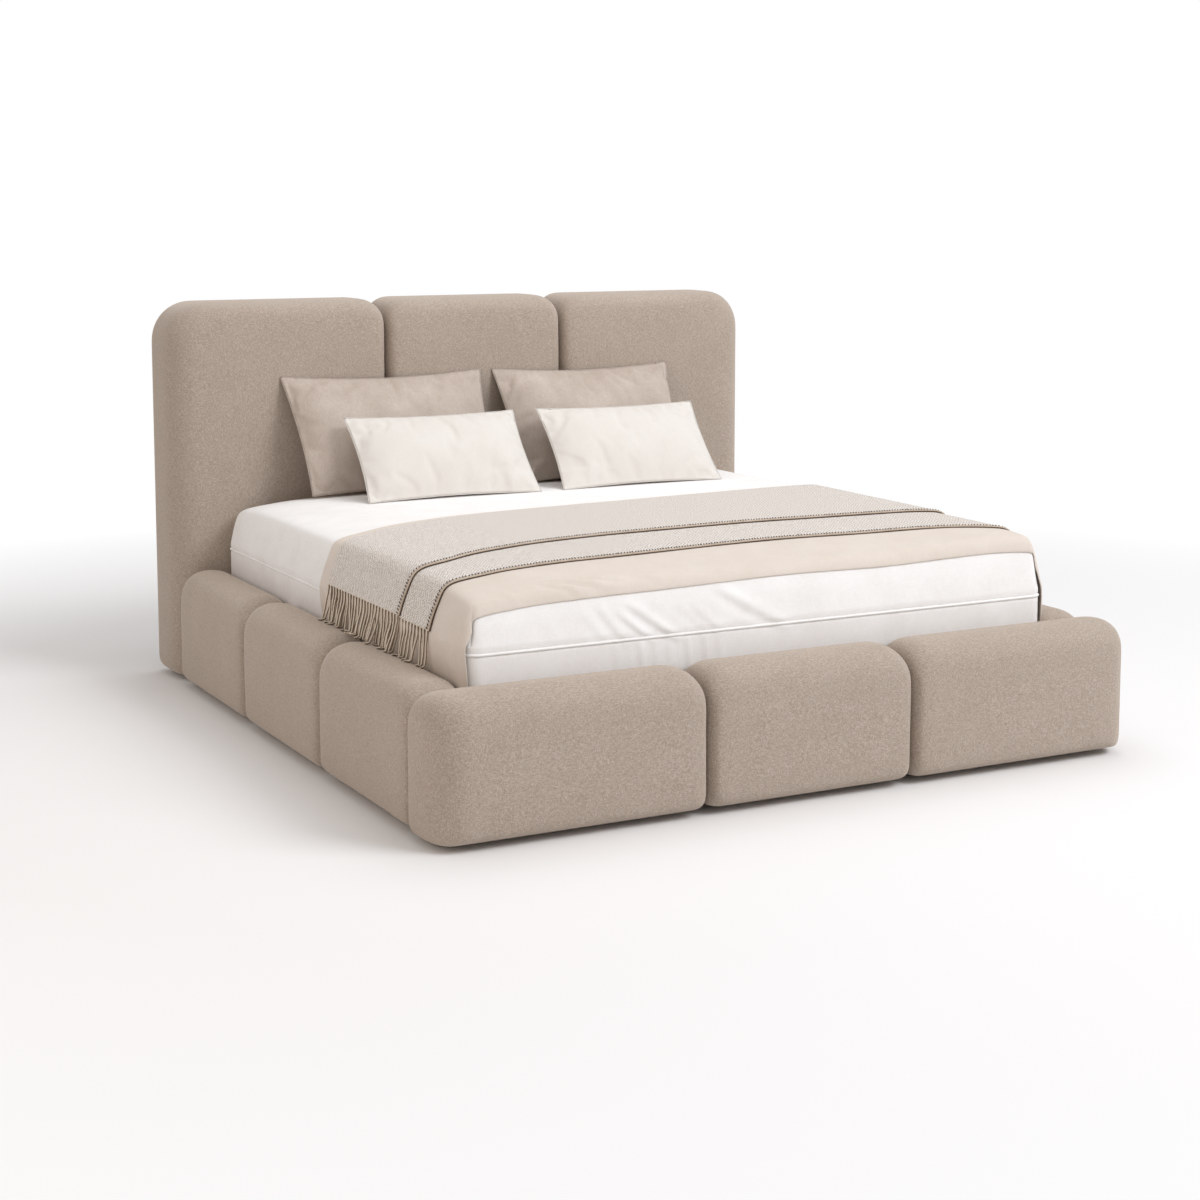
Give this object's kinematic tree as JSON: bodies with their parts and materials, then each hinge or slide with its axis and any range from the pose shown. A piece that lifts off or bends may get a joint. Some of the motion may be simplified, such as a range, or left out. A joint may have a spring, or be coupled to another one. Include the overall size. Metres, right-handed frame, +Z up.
{
  "type": "box spring bed",
  "caption": "Upholstered bed with puffed headboard and rail pads, timber frame, split box spring with wave springs, mattress, coverlet, fringed throw, pillows and cushions",
  "frame": {"origin": "middle of the footprint, on the floor under the glides", "axes": "+X to the right seen from the foot end, +Y to the headboard, +Z up"},
  "size_m": [2.144, 2.37, 1.23],
  "materials": {
    "upholstery": "matte",
    "lining": "matte",
    "panel": "matte",
    "timber": "matte",
    "leg_wood": "satin",
    "bracket_steel": "satin",
    "zinc_steel": "satin",
    "spring_steel": "satin",
    "clip_plastic": "satin",
    "glide_plastic": "matte",
    "felt": "matte",
    "foam": "matte",
    "ticking": "matte",
    "mattress_fabric": "matte",
    "piping_fabric": "matte",
    "coverlet_cotton": "matte",
    "throw_wool": "matte",
    "fringe_yarn": "matte",
    "pillow_linen": "matte",
    "cushion_cotton": "matte"
  },
  "bodies": {
    "bed_frame": {"headboard_panel": "panel", "headboard_back_cover": "lining", "headboard_pad_left": "upholstery", "headboard_pad_middle": "upholstery", "headboard_pad_right": "upholstery", "mounting_block_left": "timber", "mounting_block_right": "timber", "headboard_bolts": "zinc_steel", "side_board_left": "timber", "side_board_right": "timber", "foot_board": "timber", "head_rail": "timber", "side_pad_left_foot": "upholstery", "side_pad_left_middle": "upholstery", "side_pad_left_head": "upholstery", "side_pad_right_foot": "upholstery", "side_pad_right_middle": "upholstery", "side_pad_right_head": "upholstery", "foot_pad_left": "upholstery", "foot_pad_middle": "upholstery", "foot_pad_right": "upholstery", "ledger_left": "timber", "ledger_right": "timber", "ledger_screws": "zinc_steel", "corner_brackets": "bracket_steel", "corner_bolts": "zinc_steel", "centre_beam": "timber", "beam_hangers": "bracket_steel", "hanger_screws": "zinc_steel", "centre_legs": "leg_wood", "leg_glides": "glide_plastic", "floor_glides": "glide_plastic"},
    "box_springs": {"box_spring_frame_left": "timber", "box_spring_frame_right": "timber", "wave_springs_left": "spring_steel", "wave_springs_right": "spring_steel", "spring_clips_left": "clip_plastic", "spring_clips_right": "clip_plastic", "felt_pad_left": "felt", "felt_pad_right": "felt", "topper_foam_left": "foam", "topper_foam_right": "foam", "box_spring_cover_left": "ticking", "box_spring_cover_right": "ticking", "dust_cover_left": "lining", "dust_cover_right": "lining"},
    "mattress": {"mattress_core": "foam", "mattress_cover": "mattress_fabric", "mattress_piping": "piping_fabric", "coverlet": "coverlet_cotton", "throw_blanket": "throw_wool", "throw_fringe": "fringe_yarn"},
    "pillow_left_body": {"pillow_left": "pillow_linen"},
    "pillow_right_body": {"pillow_right": "pillow_linen"},
    "cushion_left_body": {"cushion_left": "cushion_cotton"},
    "cushion_right_body": {"cushion_right": "cushion_cotton"}
  },
  "joints": [
    {"name": "box_spring_lift", "type": "slide", "parent": "bed_frame", "child": "box_springs", "axis": [0, 0, 1], "range_m": [0, 0.3]},
    {"name": "mattress_lift", "type": "slide", "parent": "box_springs", "child": "mattress", "axis": [0, 0, 1], "range_m": [0, 0.3]},
    {"name": "pillow_left_lift", "type": "slide", "parent": "mattress", "child": "pillow_left_body", "axis": [0, 0, 1], "range_m": [0, 0.25]},
    {"name": "pillow_right_lift", "type": "slide", "parent": "mattress", "child": "pillow_right_body", "axis": [0, 0, 1], "range_m": [0, 0.25]},
    {"name": "cushion_left_lift", "type": "slide", "parent": "pillow_left_body", "child": "cushion_left_body", "axis": [0, 0, 1], "range_m": [0, 0.2]},
    {"name": "cushion_right_lift", "type": "slide", "parent": "pillow_right_body", "child": "cushion_right_body", "axis": [0, 0, 1], "range_m": [0, 0.2]}
  ]
}
